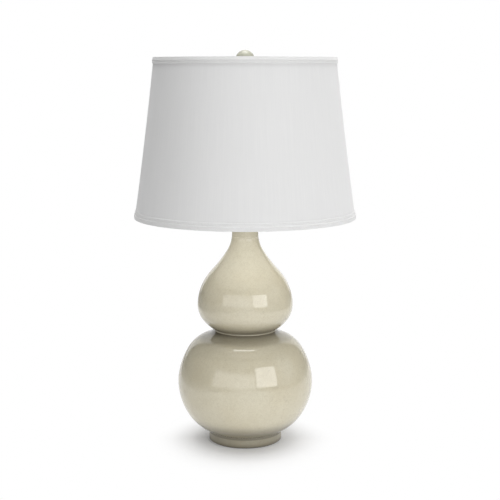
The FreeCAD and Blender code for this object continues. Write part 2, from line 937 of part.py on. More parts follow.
def build_terminal_screws():
    """Two slotted terminal screws, one on each side of the block, as one group."""
    flat = size("block_flat").number
    head = size("terminal_head").number
    shank_start = 8.0
    screws = []
    for side in (1, -1):
        direction = FreeCAD.Vector(side, 0, 0)
        height = size("terminal_height").number
        start = FreeCAD.Vector(side * shank_start, 0, height)
        face = FreeCAD.Vector(side * flat, 0, height)
        shank = Part.makeCylinder(
            size("terminal_shank").number, flat - shank_start, start, direction)
        cap = Part.makeCylinder(size("terminal_radius").number, head, face, direction)
        slot = Part.makeBox(0.8, 8.0, 0.7)
        slot.translate(FreeCAD.Vector(side * (flat + head - 0.4) - 0.4, -4.0, height - 0.35))
        screws.append(shank.fuse(cap).removeSplitter().cut(slot))
    group = doc.addObject("Part::Feature", "terminal_screws")
    group.Label = "terminal_screws"
    group.Shape = Part.makeCompound(screws)
    subparts.append(group)


def rolled_thread(mean, low, first_side, turns, downward=False):
    """Corners along a rolled round thread, as waves of half a pitch each."""
    half_pitch = size("thread_pitch") / 2
    second_side = "left" if first_side == "right" else "right"
    corners = []
    for index in range(turns * 2):
        step = turns * 2 - index if downward else index
        side = first_side if index % 2 == 0 else second_side
        corners.append((mean, low + half_pitch * step, size("thread_bend"), side))
    return corners


def build_screw_sleeve():
    """The threaded metal sleeve that takes the bulb, riveted on the block by its flange."""
    mean = size("sleeve_mean")
    wall = size("sleeve_wall")
    low = size("block_high")
    start = low + 2.6
    top = start + size("thread_pitch") * THREAD_TURNS
    outline = [
        (size("contact_reach") + 1.0, low),
        (mean + wall, low),
    ]
    outline += rolled_thread(mean + wall, start, "left", THREAD_TURNS)
    outline += [
        (mean + wall, top),
        (mean + wall, size("sleeve_high")),
        (mean, size("sleeve_high")),
    ]
    outline += rolled_thread(mean, start, "left", THREAD_TURNS, downward=True)
    outline += [
        (mean, start),
        (mean, low + wall),
        (size("contact_reach") + 1.0, low + wall),
    ]
    turned("screw_sleeve", outline)


def build_centre_contact():
    """A springy brass tongue that rises to meet the tip of the bulb."""
    body = new_body("centre_contact")
    low = size("block_high")
    reach = size("contact_reach")
    thick = size("contact_thick")
    lift = size("contact_lift")
    sketch = new_sketch(body, "tongue_outline", "XZ_Plane")
    draw(sketch, [
        (-reach, low),
        (-(reach - 3.0), low),
        (0.5, low + lift - thick),
        (3.0, low + lift - thick - 0.6),
        (3.0, low + lift - 0.6),
        (0.4, low + lift),
        (-(reach - 2.8), low + thick),
        (-reach, low + thick),
    ])
    pad(body, sketch, size("contact_width"), "tongue", both_ways=True)


# Turn switch: the nose fixed in the block, the stem that turns in it, and the knob

def build_switch_nose():
    bore = size("stem_radius") + size("stem_fit")
    start = size("nose_inner_end")
    body = turned("switch_nose", [
        (bore, start),
        (size("nose_radius"), start),
        (size("nose_radius"), start + size("nose_length") - 0.6),
        (size("nose_radius") - 0.6, start + size("nose_length")),
        (bore, start + size("nose_length")),
    ])
    turn_piece(body, (0, -1, 0), height=size("switch_height"))


def build_switch_stem():
    start = size("stem_inner_end")
    body = turned("switch_stem", [
        (0, start),
        (size("stem_radius"), start),
        (size("stem_radius"), start + size("stem_length")),
        (0, start + size("stem_length")),
    ])
    turn_piece(body, (0, -1, 0), height=size("switch_height"))


def build_turn_knob():
    """A key knob: a round collar that narrows to a flat grip."""
    radius = size("knob_radius")
    start = size("knob_start")
    end = start + size("knob_length")
    stem_end = size("stem_inner_end") + size("stem_length")
    body = turned("turn_knob", [
        (size("stem_radius"), start),
        (radius - 0.8, start, as_size(0.8), "left"),
        (radius, start + 0.8),
        (radius, start + size("knob_collar"), as_size(22.0), "left"),
        (radius - 1.0, end - 3.0, as_size(4.2), "left"),
        (0, end),
        (0, stem_end),
        (size("stem_radius"), stem_end),
    ])
    grip = size("knob_grip")
    waste = new_sketch(body, "grip_outline", "YZ_Plane")
    collar = start + size("knob_collar")
    for side in (1, -1):
        near = grip * side
        far = (radius + 2) * side
        draw(waste, [
            (near, end + 2),
            (near, collar + 4.0),
            ((radius + 0.5) * side, collar),
            (far, collar),
            (far, end + 2),
        ])
    pocket(body, waste, "grip", length=radius * 2 + 4, both_ways=True)
    turn_piece(body, (0, -1, 0), height=size("switch_height"))


# Bulb: contact tip, insulator, threaded cap and frosted glass

def build_bulb():
    tip_low = size("tip_low")
    tip_high = tip_low + size("tip_thick")
    turned("bulb_tip", [
        (0, tip_low),
        (1.6, tip_low, as_size(4.0), "left"),
        (size("tip_radius"), tip_high),
        (0, tip_high),
    ])
    mean = size("cap_thread_mean")
    low = size("insulator_high")
    turned("bulb_insulator", [
        (0, tip_high),
        (size("tip_radius") + 0.4, tip_high),
        (mean - 1.2, low),
        (0, low),
    ])

    radius = size("glass_radius")
    height = size("glass_height")
    turn = size("glass_turn")
    walls = []
    for inset in (as_size(0), size("glass_wall")):
        ball = radius - inset
        bend = size("glass_neck_bend") + inset
        join = (ball * cosine(turn), height - ball * sine(turn))
        neck = (join[0] - bend * (1 - cosine(turn)), join[1] - bend * sine(turn))
        walls.append((ball, bend, join, neck))
    ball, bend, join, neck = walls[0]
    inner_ball, inner_bend, inner_join, inner_neck = walls[1]
    seat = size("bulb_collar_low")
    turned("bulb_glass", [
        (inner_neck[0], seat),
        (neck[0], seat),
        neck + (bend, "right"),
        join + (ball, "left"),
        (ball, height, ball, "left"),
        (0, height + ball),
        (0, height + inner_ball, inner_ball, "right"),
        (inner_ball, height, inner_ball, "right"),
        inner_join + (inner_bend, "left"),
        inner_neck,
    ])

    thread_low = low + 0.8
    turns = THREAD_TURNS - 1
    collar = neck[0] + size("bulb_collar_wall")
    outline = [(0, low), (mean, low)]
    outline += rolled_thread(mean, thread_low, "left", turns)
    outline += [
        (mean, thread_low + size("thread_pitch") * turns),
        (mean, seat - 1.6),
        (collar, seat),
        (collar, neck[1]),
        (neck[0], neck[1]),
        (neck[0], seat),
        (0, seat),
    ]
    turned("bulb_cap", outline)


# Harp: a sprung wire bow with a flat boss at the top, and the two sleeves that lock it

def build_harp():
    body = new_body("harp")
    leg = size("harp_leg")
    wire = size("harp_wire")
    turn = size("harp_flare_angle")
    inward = size("harp_side_turn")
    flare = size("harp_flare_bend")
    side = size("harp_side_bend")
    top = size("harp_top_bend")
    slope = size("harp_slope")
    leg_top = size("harp_straight")
    flare_end = (leg + flare * (1 - cosine(turn)), leg_top + flare * sine(turn))
    slope_end = (flare_end[0] + slope * sine(turn), flare_end[1] + slope * cosine(turn))
    widest = (slope_end[0] + side * (1 - cosine(turn)), slope_end[1] + side * sine(turn))
    side_end = (widest[0] - side * (1 - cosine(inward)), widest[1] + side * sine(inward))
    top_end = (side_end[0] - top * cosine(inward), side_end[1] + top * (1 - sine(inward)))
    path = [
        (leg, size("harp_low")),
        (leg, leg_top, flare, "right"),
        flare_end,
        slope_end + (side, "left"),
        side_end + (top, "left"),
        top_end,
        (0, top_end[1]),
    ]
    half_bow = sweep(body, path, wire, "half_bow", "XY_Plane", size("harp_low"), leg, 0)
    doc.recompute()
    mirrored = body.newObject("PartDesign::Mirrored", "whole_bow")
    mirrored.Originals = [half_bow]
    middle = [item for item in body.Origin.OriginFeatures if item.Role == "YZ_Plane"][0]
    mirrored.MirrorPlane = (middle, [""])
    body.Tip = mirrored
    plate_low = top_end[1] - size("harp_plate_thick") / 2
    half = size("harp_plate_half")
    half_width = size("harp_plate_width") / 2
    corner = as_size(3.0)
    plate = new_sketch(body, "boss_outline", "XY_Plane", plate_low)
    draw(plate, [
        (-(half - corner), -half_width),
        (half - corner, -half_width, corner, "left"),
        (half, -(half_width - corner)),
        (half, half_width - corner, corner, "left"),
        (half - corner, half_width),
        (-(half - corner), half_width, corner, "left"),
        (-half, half_width - corner),
        (-half, -(half_width - corner), corner, "left"),
    ])
    pad(body, plate, size("harp_plate_thick"), "boss")
    room = wire - size("harp_plate_thick") / 2 + 0.4
    for name, start, length in (
            ("boss_top", plate_low + size("harp_plate_thick"), room),
            ("boss_under", plate_low - room, room)):
        face = new_sketch(body, name + "_outline", "XY_Plane", start)
        draw_box(face, -half, -half_width, half, half_width)
        pocket(body, face, name, length=length, reverse=True)
    hole = new_sketch(body, "hole_outline", "XY_Plane", plate_low - 1)
    draw_circle(hole, 0, 0, size("stud_radius") + size("stud_fit"))
    pocket(body, hole, "hole", length=size("harp_plate_thick") + 2, reverse=True)
    return plate_low, plate_low + size("harp_plate_thick")


def build_locking_sleeves():
    """A tapered ferrule on each leg, down over the prong of the saddle."""
    low = size("ferrule_low")
    high = low + size("ferrule_height")
    bore_high = high - 2.6
    for label, side in (("locking_sleeve_left", -1), ("locking_sleeve_right", 1)):
        body = turned(label, [
            (size("ferrule_bore"), low),
            (size("ferrule_radius"), low),
            (size("ferrule_radius"), low + 1.6),
            (size("ferrule_radius") - 0.3, low + 2.0),
            (size("ferrule_top"), high - 1.0, as_size(1.0), "left"),
            (size("ferrule_top") - 0.8, high),
            (size("ferrule_mouth"), high),
            (size("ferrule_mouth"), bore_high + 0.8),
            (size("ferrule_bore"), bore_high),
        ])
        body.Placement = FreeCAD.Placement(
            FreeCAD.Vector(side * SIZES["ferrule_offset"], 0, 0), FreeCAD.Rotation())
        body.setExpression("Placement.Base.x", (size("ferrule_offset") * side).formula)


def build_swivel_stud(plate_low, plate_high):
    """The threaded stud on the harp's boss, free to turn there."""
    gap = size("stud_gap")
    head_top = plate_low - gap
    head_low = head_top - size("stud_head_thick")
    flange_low = plate_high
    flange_top = flange_low + size("stud_flange_thick")
    end = flange_top + size("stud_thread")
    stud = size("stud_radius")
    turned("swivel_stud", [
        (0, head_low),
        (size("stud_head") - 0.8, head_low, as_size(0.8), "left"),
        (size("stud_head"), head_low + 0.8),
        (size("stud_head"), head_top),
        (stud, head_top),
        (stud, flange_low),
        (size("stud_flange"), flange_low),
        (size("stud_flange"), flange_top - 0.5),
        (size("stud_flange") - 0.5, flange_top),
        (stud, flange_top),
        (stud, end - 0.8),
        (stud - 0.8, end),
        (0, end),
    ])
    return flange_top


# Shade: fabric over a stiff liner, wire rings, folded trims, a seam and the spider

def fabric_radius(height):
    """The outside of the fabric at a height: a cone that is drawn in a little between its
    rings."""
    way = (height - size("shade_low")) / (size("shade_high") - size("shade_low"))
    cone = size("shade_low_radius") - (size("shade_low_radius") - size("shade_high_radius")) * way
    return cone - size("shade_bow") * 4 * way * (1 - way)


def bow_radius():
    """The radius of the long arc that the fabric's side follows."""
    run = size("shade_low_radius") - size("shade_high_radius")
    rise = size("shade_high") - size("shade_low")
    return (run * run + rise * rise) / (size("shade_bow") * 8)


def shell(label, outer_inset, thick, low, high):
    """One layer of the shade, its outside inset from that of the fabric."""
    bow = bow_radius()
    turned(label, [
        (fabric_radius(low) - outer_inset - thick, low),
        (fabric_radius(low) - outer_inset, low, bow, "right"),
        (fabric_radius(high) - outer_inset, high),
        (fabric_radius(high) - outer_inset - thick, high, bow, "left"),
    ])


def liner_inside(height):
    return fabric_radius(height) - size("fabric_thick") - size("liner_thick")


def ring_place(end):
    """Height and radius of a wire ring at the top or the bottom of the shade."""
    wire = size("ring_wire")
    if end == "top":
        height = size("shade_high") - size("hem") - wire
    else:
        height = size("shade_low") + size("hem") + wire
    return height, liner_inside(height) - wire - 0.02


def build_ring(label, end):
    height, radius = ring_place(end)
    torus = doc.addObject("Part::Torus", label)
    torus.Label = label
    torus.setExpression("Radius1", radius.formula)
    torus.setExpression("Radius2", "sizes.ring_wire")
    torus.setExpression("Placement.Base.z", height.formula)
    subparts.append(torus)


def build_trim(label, end):
    """Folded tape round a rim: a thick fold at the edge, a thin one beside it, and a tuck over
    the ring to the inside."""
    top = end == "top"
    edge = size("shade_high") if top else size("shade_low")
    way = -1 if top else 1
    side = "left" if top else "right"
    hem = edge + size("hem") * way
    step = edge + size("trim_edge_fold") * way
    last = edge + size("trim_whole") * way
    tuck = edge + size("trim_tuck_high" if top else "trim_tuck_low") * way
    bend = size("trim_rounding")
    full = size("trim_thick")
    thin = size("trim_step")
    ring_height, ring_radius = ring_place(end)
    tuck_outer = ring_radius - size("ring_wire") - 0.02
    tuck_inner = tuck_outer - thin
    turned(label, [
        (fabric_radius(last), last),
        (fabric_radius(last) + thin, last),
        (fabric_radius(step) + thin, step),
        (fabric_radius(step) + full, step),
        (fabric_radius(edge) + full, edge + bend * way, bend, side),
        (fabric_radius(edge) + full - bend, edge),
        (tuck_inner + bend, edge, bend, side),
        (tuck_inner, edge + bend * way),
        (tuck_inner, tuck),
        (tuck_outer, tuck),
        (tuck_outer, hem),
        (fabric_radius(hem), hem),
    ])


def build_back_seam():
    """The lap of the fabric, a narrow strip up the back between the trims."""
    body = new_body("back_seam")
    low = size("shade_low") + size("trim_whole") + 0.5
    high = size("shade_high") - size("trim_whole") - 0.5
    bow = bow_radius()
    feature = revolve(body, [
        (fabric_radius(low), low),
        (fabric_radius(low) + size("seam_thick"), low, bow, "right"),
        (fabric_radius(high) + size("seam_thick"), high),
        (fabric_radius(high), high, bow, "left"),
    ], "lap", "YZ_Plane")
    feature.setExpression("Angle", "sizes.seam_angle")
    feature.Midplane = True


def build_spider(seat):
    """The hub on the stud, and the arms from it to the top ring."""
    hub_top = seat + size("hub_thick")
    ring("spider_hub", size("hub_bore"), size("hub_radius"), seat, size("hub_thick"))
    wire = size("arm_wire")
    level = hub_top + wire - size("arm_weld")
    ring_height, ring_radius = ring_place("top")
    end = (ring_radius - 0.7, ring_height - 0.8)
    turn = size("arm_turn")
    bend = size("arm_bend")
    rise = end[1] - level - bend * (1 - cosine(turn))
    bend_end = (end[0] - rise * cosine(turn) / sine(turn), level + bend * (1 - cosine(turn)))
    bend_start = (bend_end[0] - bend * sine(turn), level)
    path = [(size("arm_start"), level), bend_start + (bend, "left"), bend_end, end]
    for number in range(ARMS):
        body = new_body("spider_arm_" + str(number + 1))
        sweep(body, path, wire, "arm", "YZ_Plane", size("arm_start"), 0, level)
        angle = 90 + 360 / ARMS * number
        body.Placement = FreeCAD.Placement(FreeCAD.Vector(), FreeCAD.Rotation(UP, angle))
    return hub_top


# Finial: a glazed ball on a threaded brass insert

def build_finial(seat):
    flange_top = seat + size("insert_flange_thick")
    foot = size("ball_foot")
    collar = size("insert_collar")
    waist = size("insert_waist")
    stem_top = size("ball_socket")
    turned("finial_insert", [
        (size("insert_bore"), seat),
        (size("insert_flange") - 0.6, seat, as_size(0.6), "left"),
        (size("insert_flange"), seat + 0.6),
        (size("insert_flange"), flange_top - 0.6, as_size(0.6), "left"),
        (size("insert_flange") - 0.6, flange_top),
        (collar, flange_top, waist, "right"),
        (collar, foot),
        (size("insert_stem"), foot),
        (size("insert_stem"), stem_top),
        (0, stem_top),
        (0, size("insert_bore_high")),
        (size("insert_bore"), size("insert_bore_high")),
    ])
    radius = size("ball_radius")
    height = size("ball_height")
    foot_radius = on_arc_at_height((as_size(0), height), radius, foot)
    turned("finial_ball", [
        (size("insert_stem"), foot),
        (foot_radius, foot, radius, "left"),
        (radius, height, radius, "left"),
        (0, height + radius),
        (0, stem_top),
        (size("insert_stem"), stem_top),
    ])


build_felt_pad()
neck_radius = build_gourd_body()
build_cord_bushing()

washer_low = size("floor_under") - size("washer_thick")
spring_low = washer_low - size("spring_washer_thick")
ring("floor_washer", size("washer_bore"), size("washer_radius"), washer_low, size("washer_thick"))
build_spring_washer(spring_low)
build_nut("floor_nut", spring_low - size("nut_thick"))
ring("lamp_tube", size("tube_bore"), size("tube_radius"), size("tube_low"),
     size("tube_high") - size("tube_low"))

ring("neck_gasket", size("gasket_bore"), neck_radius - size("lip_rounding"), size("neck_top"),
     size("gasket_thick"))
build_neck_cap(neck_radius)
build_nut("neck_nut", cap_top())
build_harp_saddle()

build_holder_cap()
build_grub_screw()
build_holder_barrel()
build_holder_liner()
build_switch_block()
build_terminal_screws()
build_screw_sleeve()
build_centre_contact()
build_switch_nose()
build_switch_stem()
build_turn_knob()

build_bulb()

plate_low, plate_high = build_harp()
build_locking_sleeves()
stud_seat = build_swivel_stud(plate_low, plate_high)

shell("shade_fabric", as_size(0), size("fabric_thick"), size("shade_low") + size("hem"),
      size("shade_high") - size("hem"))
shell("shade_liner", size("fabric_thick"), size("liner_thick"), size("shade_low") + size("hem"),
      size("shade_high") - size("hem"))
build_ring("top_ring", "top")
build_ring("bottom_ring", "bottom")
build_trim("top_trim", "top")
build_trim("bottom_trim", "bottom")
build_back_seam()
hub_top = build_spider(stud_seat)
build_finial(hub_top)

doc.recompute()

for item in doc.Objects:
    if "Invalid" in item.State or "Error" in item.State:
        raise RuntimeError(item.Label + " is in state " + str(item.State))
for part in subparts:
    if part.Shape.isNull() or not part.Shape.isValid():
        raise RuntimeError(part.Label + " has no valid shape")

os.makedirs("parts", exist_ok=True)
for part in subparts:
    part.Shape.exportStep("parts/" + part.Label + ".step")
print("wrote", len(subparts), "sub-parts")
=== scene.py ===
import math

import bpy
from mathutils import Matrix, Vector, noise


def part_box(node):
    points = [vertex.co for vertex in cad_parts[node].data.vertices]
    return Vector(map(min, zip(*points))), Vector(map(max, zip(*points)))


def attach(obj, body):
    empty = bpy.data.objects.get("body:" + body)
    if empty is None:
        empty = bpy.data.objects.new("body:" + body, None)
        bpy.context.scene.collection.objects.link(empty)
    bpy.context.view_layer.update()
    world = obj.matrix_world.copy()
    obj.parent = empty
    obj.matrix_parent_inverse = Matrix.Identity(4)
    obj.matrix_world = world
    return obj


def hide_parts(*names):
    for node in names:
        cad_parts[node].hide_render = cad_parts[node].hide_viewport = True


# A double gourd table lamp on a white table, in soft studio light. Metres, +Z up.

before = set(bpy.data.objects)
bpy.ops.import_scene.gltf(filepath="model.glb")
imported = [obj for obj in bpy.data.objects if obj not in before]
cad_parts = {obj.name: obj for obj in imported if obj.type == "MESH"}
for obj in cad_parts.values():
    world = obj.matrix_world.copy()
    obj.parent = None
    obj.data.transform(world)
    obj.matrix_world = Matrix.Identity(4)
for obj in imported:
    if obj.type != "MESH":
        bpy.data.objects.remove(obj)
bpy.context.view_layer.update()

MM = 0.001
UP = Vector((0, 0, 1))

# The photograph's camera
IMAGE = 500
FOCAL_PIXELS = 1182.0
SENSOR = 36.0
EYE = Vector((0.0090, -2.1594, 0.6903))
TILT_DOWN = math.radians(8.71)

# The lights, as seen from a point this high on the lamp's axis: azimuth to the right of the camera
# and elevation in degrees, distance, size and glow, which is 1 for a card as bright as plain white.
# Only the key shows in the glaze.
LAMP_HEIGHT = 0.21
LIGHTS = {
    "key_softbox": {"azimuth": 38.6, "elevation": 17.8, "distance": 2.335, "size": (1.51, 1.25),
                    "glow": 3.5, "turned": -13.0, "mirrored": True},
    "low_front_softbox": {"azimuth": 0.0, "elevation": 5.0, "distance": 2.6, "size": (1.3, 0.9),
                          "glow": 2.1},
    "low_left_softbox": {"azimuth": -50.0, "elevation": 5.0, "distance": 2.6, "size": (1.3, 0.9),
                         "glow": 2.1},
    "back_right_softbox": {"azimuth": 140.0, "elevation": 25.0, "distance": 2.6, "size": (1.6, 1.0),
                           "glow": 2.6},
    "back_softbox": {"azimuth": 180.0, "elevation": 25.0, "distance": 2.6, "size": (1.6, 1.0),
                     "glow": 2.5},
    "overhead_softbox": {"azimuth": 0.0, "elevation": 90.0, "distance": 1.7, "size": (0.8, 0.8),
                         "glow": 2.8},
    "ceiling_softbox": {"azimuth": 0.0, "elevation": 90.0, "distance": 2.4, "size": (2.0, 2.0),
                        "glow": 3.3},
}

# The even light of the world on every surface
EVEN_LIGHT = 0.1

# What the glaze mirrors of the room besides, in degrees: a bright panel in front and to the left,
# and a dim one to the right of the key
PANEL = {"azimuth": (-57.0, 17.0), "elevation": (1.0, 27.8), "soft": (3.0, 4.5), "glow": 1.68}
SIDE_PANEL = {"azimuth": (46.0, 100.0), "elevation": (1.0, 30.0), "soft": (6.0, 4.0), "glow": 0.5}

# A strip right overhead, in degrees off the upright to the right and to the back. It shows only
# above the last elevation, and not again below the table.
CREST_STRIP = {"across": (-12.5, 10.5), "along": (-2.0, 22.0), "soft": 0.6, "glow": 5.2}
OVERHEAD = 45.0

# The backdrop beyond an azimuth and the ceiling above an elevation
BACKDROP_EDGE = 146.0
BACKDROP_SOFT = 4.0
BACKDROP_GLOW = 1.0
CEILING_EDGE = 62.0
CEILING_SOFT = 2.0
CEILING_GLOW = 1.4

# The table: from where to where the shadow fades, how it is shaped round the foot, and the dimmer
# sides that only mirrors see, from one distance to another on the left and on the right, measured
# in the shadow's scale across
SHADOW_RAMP = (0.040, 0.170)
SHADOW_CENTRE = 0.052
SHADOW_SHAPE = (0.93, 0.615)
SHADOW_BEHIND = 0.40
LEFT_SIDE = (-0.95, -0.50)
RIGHT_SIDE = (0.80, 1.40)
SIDE_GLOW = 0.3

# Painted shade in the glaze: in the waist between the gourds, on the lower gourd's shoulder and
# the upper gourd's underside, round the foot and in its crease, and faintly over all above the
# neck's ridge. A ramp goes from one height to another, with the share of the painted dark tone at
# each. A band rises between its first two heights and falls between its last two.
SHOULDER_SHADE_RAMPS = ((0.168, 0.178, 0.0, 0.05), (0.193, 0.199, 0.0, 0.17), (0.2005, 0.210, 0.0, 0.65))
KEEL_SHADE_RAMPS = ((0.212, 0.234, 0.54, 0.0), (0.225, 0.254, 0.24, 0.0))
WAIST_LINE = (0.2115, 0.2125)
# Along a thin band at the waist's edge the painted shade is lifted by a share, a painted light line
WAIST_LIGHT_LINE = (0.2096, 0.2104, 0.2116, 0.2124)
WAIST_LIGHT_LINE_SHARE = 0.45
FOOT_SHADE_RAMPS = ((0.028, 0.054, 0.47, 0.0), (0.040, 0.062, 0.16, 0.0), (0.024, 0.034, -0.11, 0.0),
              (0.001, 0.010, 0.30, 0.0))
CREASE_SHADE = (0.0148, 0.0166, 0.0188, 0.0225)
CREASE_SHADE_SHARE = 0.26
COLLAR_SHADE_RAMP = (0.3845, 0.3865, 0.0, 0.06)
NECK_RIDGE = (0.3830, 0.3848, 0.3848, 0.3866)

# Threads to a metre in the shade's cloth
WARP_THREADS = 2100.0
WEFT_THREADS = 2600.0

# The tape at each rim: the widths of the folded tape and of the strip under it, the size of the
# bend at a free edge, how far the strip stands off, how far the tape goes on inside, the seeds of
# its ripple, and how far below the rim a line of painted shadow runs along a band's free edge
TAPES = {
    "top_tape": {"top": True, "node": "top_trim", "ring": "top_ring", "fold_width": 6.5 * MM,
                 "strip_width": 11.2 * MM, "bend": 0.8 * MM, "strip_off": 1.40 * MM,
                 "tuck": 1.6 * MM, "seeds": (5.0, 17.0), "shadow_lines": (6.2 * MM, 10.9 * MM)},
    "bottom_tape": {"top": False, "node": "bottom_trim", "ring": "bottom_ring", "fold_width": 8.2 * MM,
                    "strip_width": 14.2 * MM, "bend": 1.2 * MM, "strip_off": 1.10 * MM,
                    "tuck": 7.8 * MM, "seeds": (11.0, 23.0), "shadow_lines": ()},
}


# Node graphs

class Graph:
    """The shader nodes of a material or world."""

    def __init__(self, owner):
        owner.use_nodes = True
        self.tree = owner.node_tree
        self.tree.nodes.clear()

    def join(self, source, target):
        self.tree.links.new(source, target)

    def fill(self, socket, value):
        """Links a socket or sets a constant."""
        if isinstance(value, bpy.types.NodeSocket):
            self.join(value, socket)
        else:
            socket.default_value = value

    def place(self, kind="Object"):
        return self.tree.nodes.new("ShaderNodeTexCoord").outputs[kind]

    def scaled(self, vector, scale):
        node = self.tree.nodes.new("ShaderNodeMapping")
        self.join(vector, node.inputs["Vector"])
        node.inputs["Scale"].default_value = scale
        return node.outputs[0]

    def math(self, operation, first, second=0.0, clamp=False):
        node = self.tree.nodes.new("ShaderNodeMath")
        node.operation = operation
        node.use_clamp = clamp
        self.fill(node.inputs[0], first)
        self.fill(node.inputs[1], second)
        return node.outputs[0]

    def noise(self, vector, scale, detail=2.0, roughness=0.5):
        node = self.tree.nodes.new("ShaderNodeTexNoise")
        self.join(vector, node.inputs["Vector"])
        node.inputs["Scale"].default_value = scale
        node.inputs["Detail"].default_value = detail
        node.inputs["Roughness"].default_value = roughness
        return node.outputs["Fac"]

    def cells(self, vector, scale):
        """The distance from the edges of a net of cells."""
        node = self.tree.nodes.new("ShaderNodeTexVoronoi")
        node.feature = "DISTANCE_TO_EDGE"
        self.join(vector, node.inputs["Vector"])
        node.inputs["Scale"].default_value = scale
        return node.outputs["Distance"]

    def threads(self, vector, count, direction):
        """Even waves, one for each of a count of threads to a metre."""
        node = self.tree.nodes.new("ShaderNodeTexWave")
        node.bands_direction = direction
        node.wave_profile = "SIN"
        self.join(vector, node.inputs["Vector"])
        node.inputs["Scale"].default_value = count / (2 * math.pi)
        node.inputs["Distortion"].default_value = 0.0
        return node.outputs["Fac"]

    def step(self, value, low, high, start=0.0, end=1.0):
        """Takes value from low to high smoothly to start to end."""
        node = self.tree.nodes.new("ShaderNodeMapRange")
        node.interpolation_type = "SMOOTHSTEP"
        for socket, number in zip(node.inputs[:5], (value, low, high, start, end)):
            self.fill(socket, number)
        return node.outputs[0]

    def ramps(self, value, ramps):
        """The sum of several steps."""
        total = self.step(value, *ramps[0])
        for ramp in ramps[1:]:
            total = self.math("ADD", total, self.step(value, *ramp))
        return total

    def band(self, value, rise, top, edge, fall):
        """1 from top to edge, and 0 below rise and above fall."""
        return self.math("MULTIPLY", self.step(value, rise, top), self.step(value, edge, fall, 1.0, 0.0))

    def mix(self, share, first, second, blend="MIX"):
        """Mixes two colours."""
        node = self.tree.nodes.new("ShaderNodeMix")
        node.data_type = "RGBA"
        node.blend_type = blend
        self.fill(node.inputs["Factor"], share)
        for socket, colour in ((node.inputs[6], first), (node.inputs[7], second)):
            self.fill(socket, colour if not isinstance(colour, tuple) else (*colour, 1.0))
        return node.outputs[2]

    def split(self, vector):
        node = self.tree.nodes.new("ShaderNodeSeparateXYZ")
        self.join(vector, node.inputs[0])
        return node.outputs

    def ray_is(self, *kinds):
        """1 for rays of these kinds, and 0 for others."""
        outputs = self.tree.nodes.new("ShaderNodeLightPath").outputs
        total = outputs["Is " + kinds[0] + " Ray"]
        for kind in kinds[1:]:
            total = self.math("MAXIMUM", total, outputs["Is " + kind + " Ray"])
        return total


class Finish(Graph):
    """A material with a Principled shader."""

    def __init__(self, name):
        self.material = bpy.data.materials.new(name)
        super().__init__(self.material)
        self.output = self.tree.nodes.new("ShaderNodeOutputMaterial")
        self.shader = self.tree.nodes.new("ShaderNodeBsdfPrincipled")
        self.join(self.shader.outputs[0], self.output.inputs["Surface"])

    def set(self, **values):
        """Sets sockets of the Principled shader. Spaces in their names are underscores here."""
        for name, value in values.items():
            self.fill(self.shader.inputs[name.replace("_", " ")], value)

    def bump(self, height, strength, distance):
        """Adds relief to the surface, on top of any that it has."""
        node = self.tree.nodes.new("ShaderNodeBump")
        node.inputs["Strength"].default_value = strength
        node.inputs["Distance"].default_value = distance
        self.join(height, node.inputs["Height"])
        target = self.shader.inputs["Normal"]
        if target.is_linked:
            self.join(target.links[0].from_socket, node.inputs["Normal"])
        self.join(node.outputs[0], target)


# Materials

def glaze(name, deep, pale, mottled):
    """Glossy glaze with a fine crackle, faint specks and a slow drift from a deep to a pale tone.
    Shade is painted into its colour by height: in the waist, round the foot and in its crease, and
    faintly over all above the neck's ridge, with a painted light line left at the waist's edge. A
    fine ridge marks where the neck turns straight."""
    graph = Finish(name)
    place = graph.place()
    drift = graph.noise(place, 14.0, 3.0)
    mottle = graph.noise(place, 160.0, 3.0, 0.6)
    tone = graph.mix(graph.step(drift, 0.3, 0.7), deep, pale)
    tone = graph.mix(graph.step(mottle, 0.35, 0.7, 0.0, 0.25), tone, mottled)
    warp = graph.mix(0.012, place, graph.noise(place, 60.0), "ADD")
    crack = graph.cells(warp, 210.0)
    line = graph.step(crack, 0.0, 0.05, 0.29, 0.0)
    tone = graph.mix(line, tone, (0.42, 0.36, 0.25))
    speck = graph.step(graph.noise(place, 900.0, 1.0), 0.70, 0.78, 0.0, 0.25)
    tone = graph.mix(speck, tone, (0.36, 0.30, 0.20))
    height = graph.split(place)["Z"]
    waist = graph.mix(graph.step(height, *WAIST_LINE), graph.ramps(height, SHOULDER_SHADE_RAMPS),
                      graph.ramps(height, KEEL_SHADE_RAMPS))
    light_line = graph.math("MULTIPLY", graph.band(height, *WAIST_LIGHT_LINE), WAIST_LIGHT_LINE_SHARE)
    waist = graph.math("MULTIPLY", waist, graph.math("SUBTRACT", 1.0, light_line))
    crease = graph.math("MULTIPLY", graph.band(height, *CREASE_SHADE), CREASE_SHADE_SHARE)
    low = graph.math("ADD", graph.ramps(height, FOOT_SHADE_RAMPS), crease)
    collar = graph.step(height, *COLLAR_SHADE_RAMP)
    painted_shade = graph.math("ADD", graph.math("ADD", waist, low), collar, clamp=True)
    # Painted shade: the colour goes towards this dark tone by the summed shares
    tone = graph.mix(painted_shade, tone, (0.10, 0.085, 0.055))
    graph.set(Base_Color=tone, IOR=1.6)
    graph.set(Roughness=graph.step(mottle, 0.2, 0.8, 0.03, 0.06))
    orange_peel = graph.noise(place, 55.0, 1.0)
    graph.bump(orange_peel, 0.04, 0.004)
    graph.bump(graph.band(height, *NECK_RIDGE), 1.0, 0.0005)
    return graph.material


